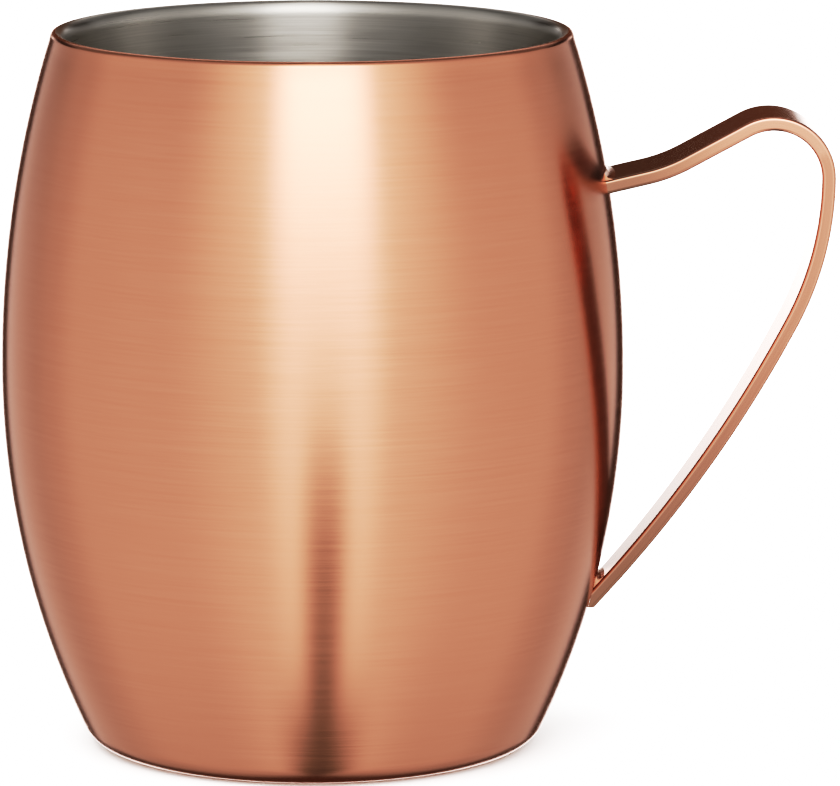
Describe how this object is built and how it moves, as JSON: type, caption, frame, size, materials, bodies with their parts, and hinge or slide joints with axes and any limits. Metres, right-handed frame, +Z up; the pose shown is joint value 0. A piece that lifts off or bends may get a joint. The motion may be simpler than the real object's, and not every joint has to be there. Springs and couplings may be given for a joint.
{
  "type": "mug",
  "caption": "Barrel-shaped double-walled mug with a copper-finished steel shell, a brushed steel inside and a bent strap handle.",
  "frame": {"origin": "centre of the underside, on the mug's axis, where the mug stands", "axes": "+Z up along the mug's axis, towards the mouth; +X towards the handle; +Y completes a right-handed frame, and the side seen with the handle to the right is -Y"},
  "size_m": [0.1201, 0.09, 0.104],
  "materials": {
    "copper_finish": "stainless steel with a copper-coloured plated finish, finely brushed round the body",
    "copper_weld": "dressed weld under the same copper-coloured finish, slightly darker",
    "inner_steel": "bare stainless steel, finely brushed round the inside"
  },
  "bodies": {
    "root": {"outer_shell": "copper_finish", "base_plate": "copper_finish", "handle_strap": "copper_finish", "upper_weld": "copper_weld", "lower_weld": "copper_weld", "inner_liner": "inner_steel"}
  },
  "joints": []
}
